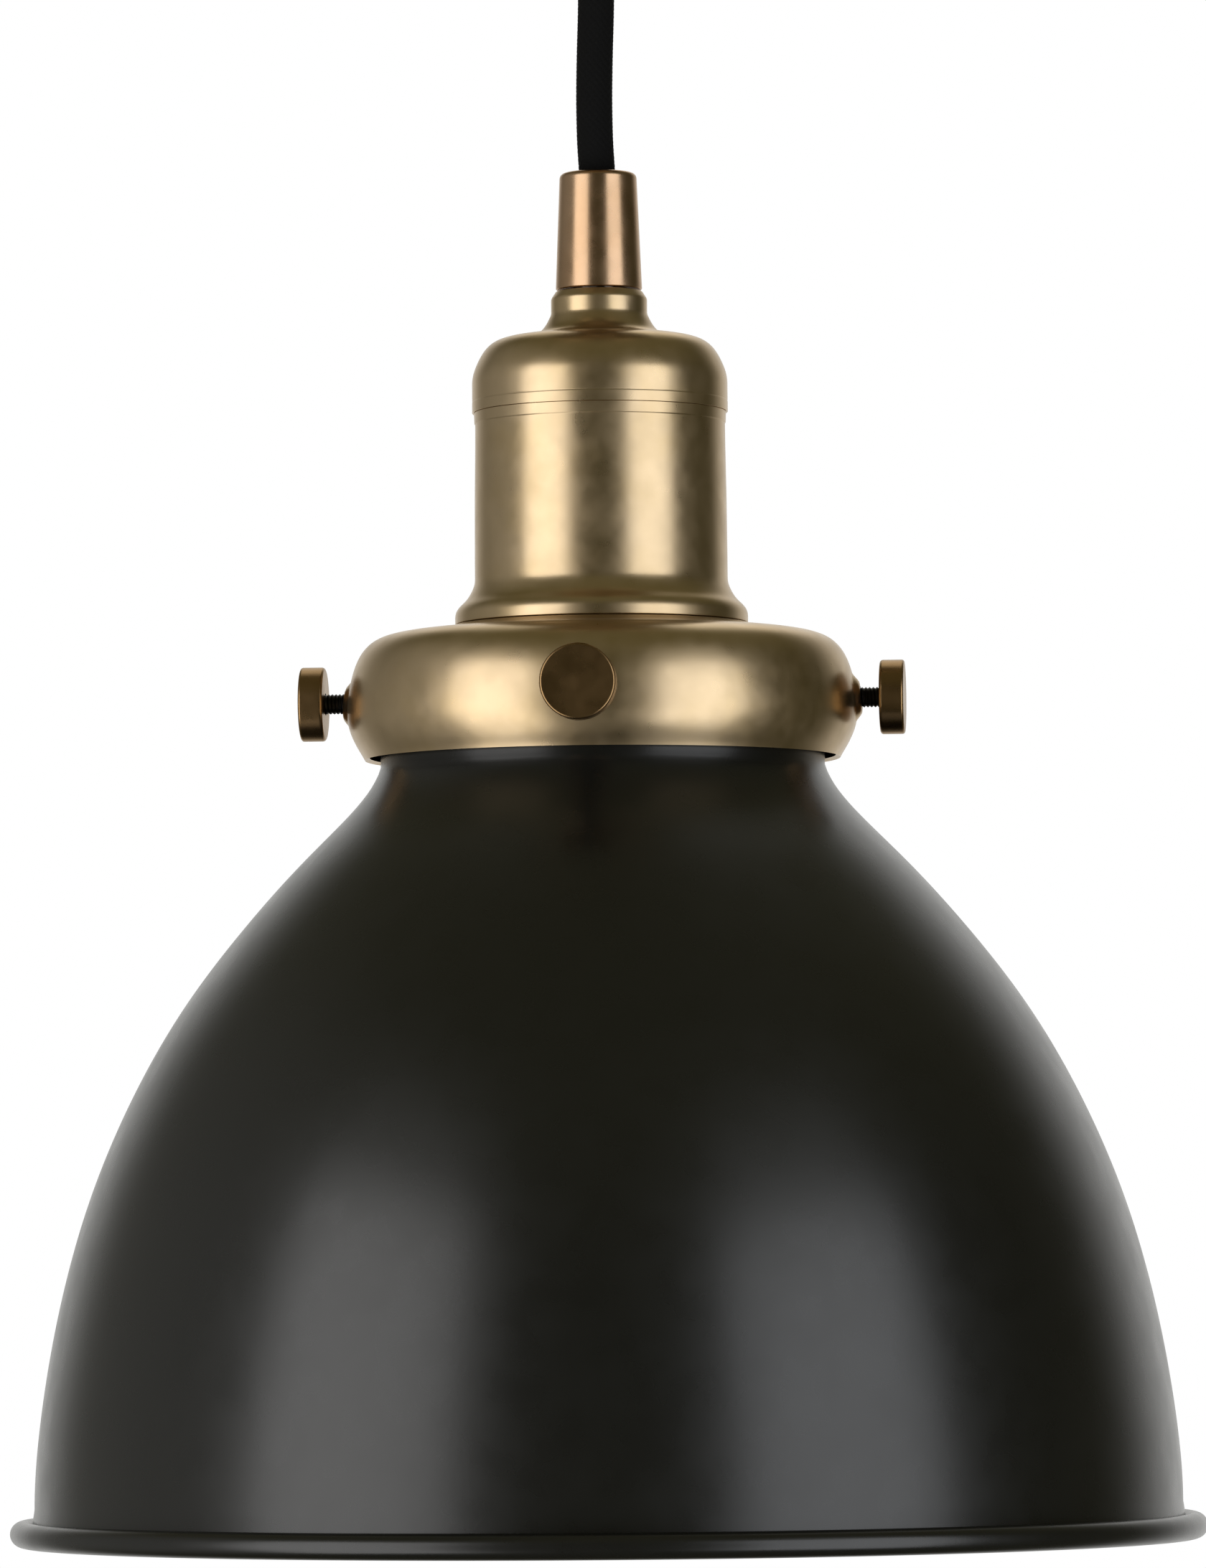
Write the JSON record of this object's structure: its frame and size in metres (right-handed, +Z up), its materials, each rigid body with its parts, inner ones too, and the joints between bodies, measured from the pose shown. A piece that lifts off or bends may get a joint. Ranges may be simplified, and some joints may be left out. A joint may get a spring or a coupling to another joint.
{
  "type": "pendant ceiling light",
  "caption": "Pendant ceiling light: a bell-shaped black metal shade held by thumbscrews in a brass gallery under a turned brass lampholder, on a short cord from a ceiling rose.",
  "frame": {"origin": "centre of the ceiling face of the ceiling rose, on the top face of its bracket", "axes": "+Z up into the ceiling, with the lamp hanging towards -Z; -Y towards the front of the lamp, where one thumbscrew stands; +X to the right of someone facing the front"},
  "size_m": [0.2242, 0.2242, 0.3482],
  "materials": {
    "brass": "satin, aged",
    "dark_brass": "dark antique",
    "black_enamel": "satin black",
    "black_textile": "braided cord cover",
    "black_steel": "black oxide",
    "zinc_steel": "zinc plated",
    "porcelain": "glazed",
    "brown_insulation": "smooth",
    "blue_insulation": "smooth"
  },
  "bodies": {
    "rose": {"rose_cup": "brass", "rose_bracket": "zinc_steel", "rose_screw_right": "brass", "rose_screw_left": "brass", "cord_outlet": "brass", "outlet_locknut": "zinc_steel", "terminal_block": "porcelain", "block_screw_live": "zinc_steel", "block_screw_neutral": "zinc_steel", "rose_lead_live": "brown_insulation", "rose_lead_neutral": "blue_insulation"},
    "lamp": {"cord": "black_textile", "cord_grip": "brass", "grip_screw": "black_steel", "nipple": "zinc_steel", "nipple_locknut": "zinc_steel", "holder_cap": "brass", "holder_barrel": "brass", "gallery": "brass", "gallery_clamp_ring": "brass", "shade": "black_enamel", "socket_insulator": "porcelain", "screw_shell": "brass", "centre_contact": "brass", "terminal_screw_live": "zinc_steel", "terminal_screw_neutral": "zinc_steel", "lamp_lead_live": "brown_insulation", "lamp_lead_neutral": "blue_insulation"},
    "shaft_front": {"screw_shaft_front": "black_steel"},
    "knob_front": {"screw_knob_front": "dark_brass"},
    "shaft_right": {"screw_shaft_right": "black_steel"},
    "knob_right": {"screw_knob_right": "dark_brass"},
    "shaft_back": {"screw_shaft_back": "black_steel"},
    "knob_back": {"screw_knob_back": "dark_brass"},
    "shaft_left": {"screw_shaft_left": "black_steel"},
    "knob_left": {"screw_knob_left": "dark_brass"}
  },
  "joints": [
    {"name": "swing", "type": "hinge", "parent": "rose", "child": "lamp", "pos_m": [0, 0, -0.045], "axis": [0, 1, 0], "range_deg": [-20, 20], "deforming": ["cord"]},
    {"name": "travel_front", "type": "slide", "parent": "lamp", "child": "shaft_front", "axis": [0, -1, 0], "range_m": [0, 0.0035]},
    {"name": "turn_front", "type": "hinge", "parent": "shaft_front", "child": "knob_front", "pos_m": [0, -0.0547, -0.1899], "axis": [0, -1, 0], "range_deg": [0, 1800]},
    {"name": "travel_right", "type": "slide", "parent": "lamp", "child": "shaft_right", "axis": [1, 0, 0], "range_m": [0, 0.0035]},
    {"name": "turn_right", "type": "hinge", "parent": "shaft_right", "child": "knob_right", "pos_m": [0.0547, 0, -0.1899], "axis": [1, 0, 0], "range_deg": [0, 1800]},
    {"name": "travel_back", "type": "slide", "parent": "lamp", "child": "shaft_back", "axis": [0, 1, 0], "range_m": [0, 0.0035]},
    {"name": "turn_back", "type": "hinge", "parent": "shaft_back", "child": "knob_back", "pos_m": [0, 0.0547, -0.1899], "axis": [0, 1, 0], "range_deg": [0, 1800]},
    {"name": "travel_left", "type": "slide", "parent": "lamp", "child": "shaft_left", "axis": [-1, 0, 0], "range_m": [0, 0.0035]},
    {"name": "turn_left", "type": "hinge", "parent": "shaft_left", "child": "knob_left", "pos_m": [-0.0547, 0, -0.1899], "axis": [-1, 0, 0], "range_deg": [0, 1800]}
  ],
  "couplings": [
    {"joint": "turn_front", "follows": "travel_front", "rad_per_m": 8976},
    {"joint": "turn_right", "follows": "travel_right", "rad_per_m": 8976},
    {"joint": "turn_back", "follows": "travel_back", "rad_per_m": 8976},
    {"joint": "turn_left", "follows": "travel_left", "rad_per_m": 8976}
  ]
}
